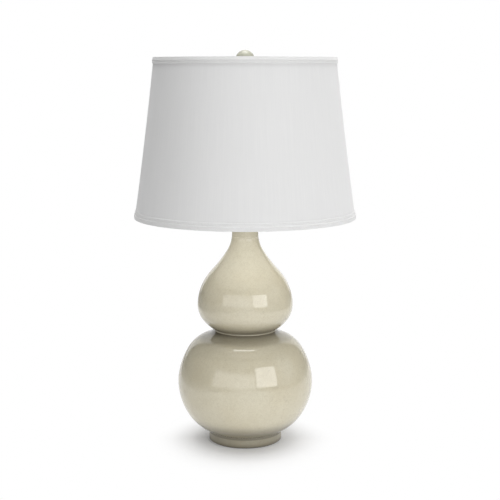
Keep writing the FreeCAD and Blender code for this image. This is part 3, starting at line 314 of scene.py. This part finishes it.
def cloth():
    """White shade cloth with a fine upright thread, slubs, and a weft that hardly shows. Shade is
    painted into it below the tape at the top, and carries on behind the tape."""
    graph = Finish("shade_cloth")
    flat = graph.place("UV")
    fine = graph.noise(graph.scaled(flat, (2600.0, 40.0, 1.0)), 1.0, 2.0, 0.6)
    slub = graph.noise(graph.scaled(flat, (520.0, 9.0, 1.0)), 1.0, 2.0, 0.5)
    warp = graph.threads(flat, WARP_THREADS, "X")
    weft = graph.threads(flat, WEFT_THREADS, "Y")
    thread = graph.math("ADD", graph.math("MULTIPLY", warp, 0.65), graph.math("MULTIPLY", weft, 0.35))
    tone = graph.mix(graph.step(slub, 0.35, 0.75), (0.770, 0.770, 0.770), (0.788, 0.788, 0.786))
    tone = graph.mix(graph.step(fine, 0.35, 0.8, 0.0, 0.14), tone, (0.714, 0.714, 0.711))
    height = graph.split(graph.place())["Z"]
    # Painted shade below the top tape, carried on behind it
    shade_below_tape = graph.step(height, shade_high - 20 * MM, shade_high - 12 * MM, 0.0, 0.6)
    tone = graph.mix(shade_below_tape, tone, (0.690, 0.690, 0.688))
    graph.set(Base_Color=tone, Roughness=0.85, Diffuse_Roughness=0.3, Sheen_Weight=0.2,
              Sheen_Roughness=0.5)
    relief = graph.math("ADD", graph.math("MULTIPLY", thread, 0.4), graph.math("MULTIPLY", fine, 0.6))
    graph.bump(relief, 0.22, 0.0003)
    return graph.material


def tape(name, shadow_lines):
    """The same cloth cut on the bias into folded tape, with a line of painted shadow at each of the
    given distances below the top rim."""
    graph = Finish(name)
    flat = graph.place("UV")
    turned = graph.tree.nodes.new("ShaderNodeMapping")
    turned.inputs["Rotation"].default_value = (0, 0, math.radians(45))
    graph.join(flat, turned.inputs["Vector"])
    across = turned.outputs[0]
    fine = graph.noise(graph.scaled(across, (1800.0, 120.0, 1.0)), 1.0, 2.0, 0.6)
    warp = graph.threads(across, WARP_THREADS, "X")
    tone = graph.mix(graph.step(fine, 0.3, 0.75), (0.745, 0.745, 0.742), (0.810, 0.810, 0.808))
    # Painted shadow lines along the bands' free edges
    for depth in shadow_lines:
        above = graph.math("SUBTRACT", graph.split(graph.place())["Z"], shade_high - depth)
        line = graph.step(graph.math("ABSOLUTE", above), 0.2 * MM, 0.9 * MM, 0.22, 0.0)
        tone = graph.mix(line, tone, (0.45, 0.45, 0.45))
    graph.set(Base_Color=tone, Roughness=0.85, Diffuse_Roughness=0.3, Sheen_Weight=0.2,
              Sheen_Roughness=0.5)
    graph.bump(graph.math("ADD", fine, graph.math("MULTIPLY", warp, 0.4)), 0.35, 0.0003)
    return graph.material


def backing():
    """White styrene sheet behind the cloth, satin and very slightly uneven."""
    graph = Finish("shade_backing")
    flat = graph.place("UV")
    grain = graph.noise(graph.scaled(flat, (900.0, 900.0, 1.0)), 1.0, 2.0)
    drift = graph.noise(graph.scaled(flat, (14.0, 5.0, 1.0)), 1.0, 2.0)
    graph.set(Base_Color=graph.mix(graph.step(drift, 0.3, 0.7), (0.80, 0.80, 0.79), (0.84, 0.84, 0.83)))
    graph.set(Roughness=graph.step(grain, 0.2, 0.8, 0.38, 0.5))
    graph.bump(grain, 0.12, 0.0002)
    return graph.material


def felt():
    """Dense dark felt with short loose fibres."""
    graph = Finish("felt")
    place = graph.place()
    fibre = graph.noise(place, 1400.0, 4.0, 0.7)
    cloud = graph.noise(place, 90.0, 2.0)
    tone = graph.mix(graph.step(fibre, 0.3, 0.75), (0.030, 0.028, 0.026), (0.085, 0.080, 0.074))
    tone = graph.mix(graph.step(cloud, 0.3, 0.7, 0.0, 0.35), tone, (0.05, 0.047, 0.044))
    graph.set(Base_Color=tone, Roughness=0.95, Sheen_Weight=0.4, Sheen_Roughness=0.6)
    graph.bump(fibre, 0.8, 0.0006)
    return graph.material


def metal(name, colour, dark, roughness, brushed):
    """Turned or drawn metal: fine lathe lines round the axis, and a little tarnish in places."""
    graph = Finish(name)
    place = graph.place()
    lines = graph.noise(graph.scaled(place, (30.0, 30.0, brushed)), 1.0, 3.0, 0.7)
    cloud = graph.noise(place, 130.0, 4.0, 0.6)
    tone = graph.mix(graph.step(cloud, 0.45, 0.8, 0.0, 0.25), colour, dark)
    graph.set(Base_Color=tone, Metallic=1.0)
    blur = graph.math("ADD", graph.step(lines, 0.25, 0.75, roughness * 0.8, roughness * 1.25),
                      graph.step(cloud, 0.45, 0.8, 0.0, 0.08))
    graph.set(Roughness=blur)
    graph.bump(lines, 0.15, 0.0001)
    return graph.material


def moulded(name, colour, roughness, coat=0.0):
    """Moulded plastic or rubber with a fine skin and faint flow marks."""
    graph = Finish(name)
    place = graph.place()
    grain = graph.noise(place, 700.0, 2.0)
    flow = graph.noise(graph.scaled(place, (60.0, 60.0, 20.0)), 1.0, 2.0)
    lighter = tuple(min(1.0, part * 1.12 + 0.004) for part in colour)
    graph.set(Base_Color=graph.mix(graph.step(flow, 0.3, 0.7), colour, lighter))
    graph.set(Roughness=graph.step(grain, 0.2, 0.8, roughness * 0.9, roughness * 1.1))
    graph.set(Coat_Weight=coat, Coat_Roughness=0.15)
    graph.bump(grain, 0.15, 0.0002)
    return graph.material


def fibre_board():
    """Brown vulcanised fibre with short mixed fibres."""
    graph = Finish("fibre_board")
    place = graph.place()
    fibre = graph.noise(graph.scaled(place, (400.0, 400.0, 1500.0)), 1.0, 3.0, 0.7)
    graph.set(Base_Color=graph.mix(graph.step(fibre, 0.3, 0.7), (0.20, 0.13, 0.07), (0.31, 0.22, 0.13)))
    graph.set(Roughness=0.75)
    graph.bump(fibre, 0.3, 0.0002)
    return graph.material


def frosted_glass():
    """White frosted bulb glass: a powder layer behind smooth glass."""
    graph = Finish("frosted_glass")
    place = graph.place()
    powder = graph.noise(place, 260.0, 3.0, 0.6)
    drift = graph.noise(place, 25.0, 2.0)
    tone = graph.mix(graph.step(powder, 0.3, 0.7), (0.86, 0.86, 0.84), (0.92, 0.92, 0.90))
    tone = graph.mix(graph.step(drift, 0.3, 0.7, 0.0, 0.3), tone, (0.83, 0.83, 0.80))
    graph.set(Base_Color=tone, Roughness=0.32, Coat_Weight=0.6, Coat_Roughness=0.06)
    graph.set(Subsurface_Weight=0.2, Subsurface_Scale=0.003)
    graph.bump(powder, 0.04, 0.0002)
    return graph.material


def painted_wire():
    """White epoxy on steel wire, a little orange peel and a few thin chips."""
    graph = Finish("white_epoxy")
    place = graph.place()
    peel = graph.noise(place, 420.0, 2.0)
    chip = graph.step(graph.noise(place, 240.0, 4.0, 0.7), 0.72, 0.76, 0.0, 0.6)
    graph.set(Base_Color=graph.mix(chip, (0.80, 0.80, 0.78), (0.30, 0.30, 0.30)))
    graph.set(Roughness=graph.step(peel, 0.2, 0.8, 0.30, 0.42))
    graph.bump(peel, 0.15, 0.0002)
    return graph.material


# Meshes

def new_piece(name, vertices, faces, uvs, material):
    """A smooth-shaded mesh object with uvs per corner."""
    mesh = bpy.data.meshes.new(name)
    mesh.from_pydata(vertices, [], faces)
    layer = mesh.uv_layers.new(name="flat")
    for polygon in mesh.polygons:
        for loop, uv in zip(polygon.loop_indices, uvs[polygon.index]):
            layer.data[loop].uv = uv
    mesh.materials.append(material)
    mesh.validate()
    mesh.shade_smooth()
    mesh.set_sharp_from_angle(angle=math.radians(30))
    piece = bpy.data.objects.new(name, mesh)
    bpy.context.collection.objects.link(piece)
    return piece


def turned_strip(name, outline, steps, material, start=0.0, turn=2 * math.pi, shift=None):
    """A closed outline of (radius, height, run) taken round Z from an angle through a turn. run is
    the way along the cloth, for the uvs, and shift(share of the turn, angle, radius, height) gives
    an offset in radius and height. A full turn closes on itself, and any other gets end caps."""
    closed = abs(turn - 2 * math.pi) < 1e-6
    count = len(outline)
    rings = steps if closed else steps + 1
    vertices = []
    for ring in range(rings):
        share = ring / steps
        angle = start + turn * share
        for radius, height, _ in outline:
            more = shift(share, angle, radius, height) if shift else (0.0, 0.0)
            out = radius + more[0]
            vertices.append((out * math.cos(angle), out * math.sin(angle), height + more[1]))
    mean = sum(corner[0] for corner in outline) / count
    faces = []
    uvs = []
    for ring in range(steps):
        following = (ring + 1) % rings
        for index in range(count):
            beyond = (index + 1) % count
            faces.append((ring * count + index, following * count + index,
                          following * count + beyond, ring * count + beyond))
            left = mean * turn * ring / steps
            right = mean * turn * (ring + 1) / steps
            low = outline[index][2]
            high = outline[beyond][2]
            uvs.append(((left, low), (right, low), (right, high), (left, high)))
    if not closed:
        last = (rings - 1) * count
        faces.append(tuple(reversed(range(count))))
        faces.append(tuple(range(last, last + count)))
        for _ in range(2):
            uvs.append([(corner[0], corner[1]) for corner in outline])
    return new_piece(name, vertices, faces, uvs, material)


def with_run(path):
    """Adds the way along a closed path to its (radius, height) corners."""
    corners = []
    run = 0.0
    for index, (radius, height) in enumerate(path):
        if index:
            run += math.hypot(radius - path[index - 1][0], height - path[index - 1][1])
        corners.append((radius, height, run))
    return corners


def folded_band(middle, thickness):
    """The outline of a strip of even thickness along an open path of (radius, height), with
    rounded ends."""
    points = [Vector(point) for point in middle]
    half = thickness / 2
    steps = 4
    one_side = []
    other_side = []
    for index, point in enumerate(points):
        before = points[max(index - 1, 0)]
        after = points[min(index + 1, len(points) - 1)]
        along = (after - before).normalized()
        across = Vector((-along.y, along.x))
        one_side.append(point + across * half)
        other_side.append(point - across * half)

    def cap(tip, along, across):
        return [tip + across * half * math.cos(math.pi * step / steps)
                + along * half * math.sin(math.pi * step / steps) for step in range(1, steps)]

    end = (points[-1] - points[-2]).normalized()
    begin = (points[0] - points[1]).normalized()
    outline = one_side
    outline += cap(points[-1], end, Vector((-end.y, end.x)))
    outline += list(reversed(other_side))
    outline += cap(points[0], begin, Vector((-begin.y, begin.x)))
    return [(point.x, point.y) for point in outline]


# Sizes of the shade

def rim(node, top):
    """Lowest and highest radius of a CAD node at its top or bottom edge, and that height."""
    low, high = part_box(node)
    height = high.z if top else low.z
    radii = [math.hypot(v.co.x, v.co.y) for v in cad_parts[node].data.vertices
             if abs(v.co.z - height) < 0.05 * MM]
    return min(radii), max(radii), height


# The bow of the sides, the hem of tape beyond the cloth's edges, and the cloth's lap at the back
BOW = 1.2 * MM
HEM = 0.8 * MM
LAP_ANGLE = math.radians(4.0)
LAP_RISE = 0.42 * MM

# Read from the CAD parts
cloth_in_low, cloth_out_low, cloth_low = rim("shade_fabric", False)
cloth_in_high, cloth_out_high, cloth_high = rim("shade_fabric", True)
liner_in_low = rim("shade_liner", False)[0]
liner_in_high = rim("shade_liner", True)[0]
shade_low = cloth_low - HEM
shade_high = cloth_high + HEM


def cloth_radius(height):
    """Outer radius of the shade's cloth at a height, with its slight bow inwards."""
    share = (height - cloth_low) / (cloth_high - cloth_low)
    straight = cloth_out_low + (cloth_out_high - cloth_out_low) * share
    return straight - BOW * 4 * share * (1 - share)


def ripple(angle, height, size, turns, seed):
    """A small even unevenness that closes on itself round the shade."""
    place = Vector((turns * math.cos(angle), turns * math.sin(angle), height * 9.0 + seed))
    return size * noise.noise(place)


# Pieces

def build_shade_cloth(material):
    """The cloth, one sheet taken round once and lapped over itself at the back. It climbs onto the
    lap within a small share of its turn."""
    thickness = 0.7 * MM
    rows = 40
    outer = []
    inner = []
    for row in range(rows + 1):
        height = cloth_low + (cloth_high - cloth_low) * row / rows
        outer.append((cloth_radius(height), height))
        inner.append((cloth_radius(height) - thickness, height))
    outline = with_run(outer + list(reversed(inner)))
    turn = 2 * math.pi + LAP_ANGLE
    start = math.pi / 2 - LAP_ANGLE / 2
    climb = 0.006

    def shift(share, angle, radius, height):
        over = (share - (1 - LAP_ANGLE / turn)) / climb + 1
        over = min(max(over, 0.0), 1.0)
        raised = LAP_RISE * over * over * (3 - 2 * over)
        return raised + ripple(angle, height, size=0.10 * MM, turns=2.0, seed=0.0), 0.0

    piece = turned_strip("shade_cloth", outline, 360, material, start, turn, shift)
    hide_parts("shade_fabric", "back_seam")
    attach(piece, "shade")


def build_shade_backing(material):
    """The stiff sheet that the cloth is laminated to, made as a closed ring."""
    rows = 24
    drop = cloth_out_low - cloth_in_low
    outer = []
    inner = []
    for row in range(rows + 1):
        height = cloth_low + (cloth_high - cloth_low) * row / rows
        share = row / rows
        thick = (cloth_in_low - liner_in_low) * (1 - share) + (cloth_in_high - liner_in_high) * share
        outer.append((cloth_radius(height) - drop, height))
        inner.append((cloth_radius(height) - drop - thick, height))
    outline = with_run(outer + list(reversed(inner)))
    piece = turned_strip("shade_backing_sheet", outline, 256, material)
    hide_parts("shade_liner")
    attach(piece, "shade")


def arc_points(centre, radius, first, last, steps):
    """Points along an arc from one angle to another, in degrees, in the radius and height plane."""
    points = []
    for step in range(steps + 1):
        angle = math.radians(first + (last - first) * step / steps)
        points.append((centre[0] + radius * math.cos(angle), centre[1] + radius * math.sin(angle)))
    return points


def build_rim_tape(name, top, node, ring, fold_width, strip_width, bend, strip_off, tuck, seeds,
                   shadow_lines):
    """Tape folded over a rim of the shade, and the flatter strip that shows beside it."""
    material = tape(name + "_cloth", shadow_lines)
    inward = -1 if top else 1
    edge = shade_high if top else shade_low
    ring_low, ring_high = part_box(ring)
    ring_inside = ring_high.x - (ring_high.z - ring_low.z)
    ply = 0.50 * MM
    under_ply = 0.40 * MM

    def outside(depth, gap):
        height = edge + inward * depth
        return cloth_radius(height) + gap, height

    def band(width, near, far, low):
        """The way from a band's free edge to the rim: it rises from low in a soft fold, stands
        far off the cloth beside the fold, and comes closer, to near, at the rim."""
        points = []
        for step in range(6):
            turn = math.pi / 2 * step / 5
            points.append(outside(width - bend * (1 - math.cos(turn)), low + (far - low) * math.sin(turn)))
        for step in range(1, 7):
            share = step / 6
            depth = (width - bend) * (1 - share) + 1.4 * MM * share
            points.append(outside(depth, far + (near - far) * share))
        return points

    outer_wall = band(fold_width, near=1.0 * MM, far=1.95 * MM, low=1.20 * MM)
    corner = 0.55 * MM
    over = edge + inward * ply / 2
    inner_radius = ring_inside - 0.05 * MM - ply / 2
    quarter = -90 * inward
    turn_out = arc_points((outer_wall[-1][0] - corner, over + inward * corner), corner, 0, quarter, 4)
    turn_in = arc_points((inner_radius + corner, over + inward * corner), corner, quarter, 2 * quarter, 4)
    path = outer_wall + turn_out + turn_in + [(inner_radius, edge + inward * tuck)]

    def wave(share, angle, radius, height):
        free = max(0.0, (abs(height - edge) - 4 * MM) / (3 * MM))
        amount = ripple(angle, 0.0, size=0.10 * MM, turns=9.0, seed=seeds[0])
        return amount * 0.4, amount * free

    def under_wave(share, angle, radius, height):
        free = max(0.0, (abs(height - edge) - 8 * MM) / (4 * MM))
        amount = ripple(angle, 0.0, size=0.14 * MM, turns=7.0, seed=seeds[1])
        return 0.0, amount * free

    folded = turned_strip(name, with_run(folded_band(path, ply)), 360, material, math.radians(96),
                          2 * math.pi, wave)
    under_path = band(strip_width, near=0.50 * MM, far=strip_off, low=0.22 * MM)
    under = turned_strip(name + "_under", with_run(folded_band(under_path, under_ply)), 360, material,
                         math.radians(98), 2 * math.pi, under_wave)
    under.parent = folded
    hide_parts(node)
    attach(folded, "shade")


def build_felt(material):
    """The felt disc under the foot, with a soft cut edge and a pinhole in the middle."""
    low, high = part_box("felt_pad")
    radius = high.x
    thick = high.z - low.z
    pinhole = 0.5 * MM
    flat = radius - 3 * MM
    edge = radius - 0.35 * MM
    cut = radius - 0.1 * MM
    bevel = 0.25 * MM
    path = [(pinhole, low.z), (radius * 0.5, low.z), (flat, low.z), (edge, low.z),
            (cut, low.z + bevel), (radius, low.z + thick / 2), (cut, high.z - bevel),
            (edge, high.z), (flat, high.z), (radius * 0.5, high.z), (pinhole, high.z)]

    def fuzz(share, angle, place, height):
        near = max(0.0, (place - radius + 1 * MM) / (1 * MM))
        fibre = noise.noise(Vector((90 * math.cos(angle), 90 * math.sin(angle), height * 2000)))
        return -abs(fibre) * 0.25 * MM * near, 0.0

    piece = turned_strip("foot_felt", with_run(path), 360, material, 0.0, 2 * math.pi, fuzz)
    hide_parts("felt_pad")
    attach(piece, "base")


def dress(material, *names):
    """Gives CAD nodes their material."""
    for name in names:
        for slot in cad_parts[name].material_slots:
            slot.material = material


# Stage and light

def build_floor():
    """A white table top that keeps the lamp's soft shadow and is plain white further off. What
    mirrors it also sees it fall off towards its sides."""
    graph = Finish("white_table")
    size = 6.0
    mesh = bpy.data.meshes.new("table_top")
    mesh.from_pydata([(-size, -size, 0), (size, -size, 0), (size, size, 0), (-size, size, 0)], [],
                     [(0, 1, 2, 3)])
    mesh.materials.append(graph.material)
    table = bpy.data.objects.new("table_top", mesh)
    bpy.context.collection.objects.link(table)

    place = graph.split(graph.place())
    across = graph.math("MULTIPLY", place["X"], SHADOW_SHAPE[0])
    along = graph.math("MULTIPLY", graph.math("SUBTRACT", place["Y"], SHADOW_CENTRE), SHADOW_SHAPE[1])
    reach = graph.math("SQRT", graph.math("ADD", graph.math("MULTIPLY", across, across),
                                          graph.math("MULTIPLY", along, along)))
    behind = graph.math("MULTIPLY", graph.math("MAXIMUM", place["Y"], 0.0), SHADOW_BEHIND)
    away = graph.step(graph.math("ADD", reach, behind), *SHADOW_RAMP)
    aside = graph.math("MULTIPLY", graph.step(across, *LEFT_SIDE, SIDE_GLOW, 1.0),
                       graph.step(across, *RIGHT_SIDE, 1.0, SIDE_GLOW))
    glow = graph.tree.nodes.new("ShaderNodeEmission")
    glow.inputs["Color"].default_value = (1, 1, 1, 1)
    graph.join(graph.math("MAXIMUM", aside, graph.ray_is("Camera", "Transmission")),
               glow.inputs["Strength"])
    blend = graph.tree.nodes.new("ShaderNodeMixShader")
    graph.join(graph.math("MULTIPLY", away, graph.ray_is("Camera", "Glossy", "Transmission")),
               blend.inputs[0])
    graph.join(graph.shader.outputs[0], blend.inputs[1])
    graph.join(glow.outputs[0], blend.inputs[2])
    graph.join(blend.outputs[0], graph.output.inputs["Surface"])
    graph.set(Base_Color=(0.92, 0.92, 0.92, 1.0), Roughness=0.9, Specular_IOR_Level=0.1)


def build_world():
    """Plain white to the camera, the studio to what mirrors it, and a little even light."""
    world = bpy.data.worlds.new("studio")
    bpy.context.scene.world = world
    graph = Graph(world)
    way = graph.split(graph.place("Generated"))
    azimuth = graph.math("ARCTAN2", way["X"], graph.math("MULTIPLY", way["Y"], -1.0))
    elevation = graph.math("ARCSINE", way["Z"])

    def above(value, angle, soft):
        return graph.step(value, math.radians(angle - soft), math.radians(angle + soft))

    def between(value, low, high, soft):
        return graph.math("MULTIPLY", above(value, low, soft),
                          graph.math("SUBTRACT", 1.0, above(value, high, soft)))

    def card(values):
        shape = graph.math("MULTIPLY", between(azimuth, *values["azimuth"], values["soft"][0]),
                           between(elevation, *values["elevation"], values["soft"][1]))
        return graph.math("MULTIPLY", shape, values["glow"])

    strip = graph.math("MULTIPLY", between(way["X"], *CREST_STRIP["across"], CREST_STRIP["soft"]),
                       between(way["Y"], *CREST_STRIP["along"], CREST_STRIP["soft"]))
    strip = graph.math("MULTIPLY", strip, above(elevation, OVERHEAD, 2))
    mirrored = graph.math("MULTIPLY", strip, CREST_STRIP["glow"])
    for values in (PANEL, SIDE_PANEL):
        mirrored = graph.math("MAXIMUM", mirrored, card(values))
    backdrop = above(graph.math("ABSOLUTE", azimuth), BACKDROP_EDGE, BACKDROP_SOFT)
    ceiling = above(elevation, CEILING_EDGE, CEILING_SOFT)
    for part, glow in ((backdrop, BACKDROP_GLOW), (ceiling, CEILING_GLOW)):
        mirrored = graph.math("MAXIMUM", mirrored, graph.math("MULTIPLY", part, glow))
    in_mirror = graph.ray_is("Glossy")
    strength = graph.math("ADD", graph.math("MULTIPLY", mirrored, in_mirror),
                          graph.math("MULTIPLY", graph.math("SUBTRACT", 1.0, in_mirror), EVEN_LIGHT))
    strength = graph.math("MAXIMUM", strength, graph.ray_is("Camera", "Transmission"))
    background = graph.tree.nodes.new("ShaderNodeBackground")
    background.inputs["Color"].default_value = (1, 1, 1, 1)
    graph.join(strength, background.inputs["Strength"])
    output = graph.tree.nodes.new("ShaderNodeOutputWorld")
    graph.join(background.outputs[0], output.inputs["Surface"])


def build_softbox(name, azimuth, elevation, distance, size, glow, turned=0.0, mirrored=False):
    """A rectangular light that faces the lamp, or is turned sideways from it by some degrees."""
    data = bpy.data.lights.new(name, "AREA")
    data.shape = "RECTANGLE"
    data.size, data.size_y = size
    data.energy = glow * math.pi * size[0] * size[1]
    light = bpy.data.objects.new(name, data)
    light.visible_glossy = mirrored

    def toward(side):
        return Vector((math.sin(side) * math.cos(rise), -math.cos(side) * math.cos(rise),
                       math.sin(rise)))

    rise = math.radians(elevation)
    light.location = toward(math.radians(azimuth)) * distance + UP * LAMP_HEIGHT
    facing = toward(math.radians(azimuth + turned))
    light.rotation_euler = facing.to_track_quat("Z", "Y").to_euler()
    bpy.context.collection.objects.link(light)


def build_camera():
    """The photograph's camera."""
    data = bpy.data.cameras.new("camera")
    data.sensor_width = SENSOR
    data.lens = FOCAL_PIXELS * SENSOR / IMAGE
    camera = bpy.data.objects.new("camera", data)
    camera.location = EYE
    camera.rotation_euler = (math.pi / 2 - TILT_DOWN, 0, 0)
    bpy.context.collection.objects.link(camera)
    bpy.context.scene.camera = camera


build_camera()
build_world()
build_floor()
for light_name, light_values in LIGHTS.items():
    build_softbox(light_name, **light_values)

brass = metal("satin_brass", (0.62, 0.43, 0.17), (0.34, 0.20, 0.07), 0.26, 2600.0)
zinc = metal("zinc_plate", (0.56, 0.57, 0.58), (0.30, 0.30, 0.31), 0.34, 1800.0)
bright = metal("rolled_aluminium", (0.78, 0.78, 0.79), (0.52, 0.52, 0.53), 0.28, 2200.0)
dress(glaze("ivory_glaze", (0.655, 0.600, 0.450), (0.685, 0.640, 0.500), (0.560, 0.505, 0.365)),
      "gourd_body")
# A darker copy of the body's glaze for the finial: painted shade, standing in for less light on it from
# above
dress(glaze("finial_glaze_darkened", (0.540, 0.540, 0.445), (0.575, 0.580, 0.480), (0.475, 0.470, 0.380)),
      "finial_ball")
dress(brass, "neck_cap", "harp_saddle", "holder_cap", "holder_barrel", "terminal_screws",
      "centre_contact", "switch_nose", "switch_stem", "harp", "locking_sleeve_left",
      "locking_sleeve_right", "swivel_stud", "spider_hub", "spider_arm_1", "spider_arm_2",
      "spider_arm_3", "finial_insert")
dress(zinc, "floor_washer", "floor_spring_washer", "floor_nut", "lamp_tube", "neck_nut",
      "grub_screw")
dress(bright, "screw_sleeve", "bulb_cap", "bulb_tip")
dress(moulded("ivory_plastic", (0.58, 0.54, 0.43), 0.45), "cord_bushing")
dress(moulded("black_rubber", (0.02, 0.02, 0.02), 0.7), "neck_gasket")
dress(moulded("phenolic_block", (0.022, 0.020, 0.019), 0.5), "switch_block")
dress(moulded("knob_plastic", (0.018, 0.016, 0.015), 0.3, 0.4), "turn_knob")
dress(moulded("dark_insulator", (0.03, 0.02, 0.035), 0.2, 0.5), "bulb_insulator")
dress(fibre_board(), "holder_liner")
dress(frosted_glass(), "bulb_glass")
dress(painted_wire(), "top_ring", "bottom_ring")

build_shade_cloth(cloth())
build_shade_backing(backing())
for tape_name, tape_values in TAPES.items():
    build_rim_tape(tape_name, **tape_values)
build_felt(felt())

bpy.context.scene.view_settings.view_transform = "Standard"
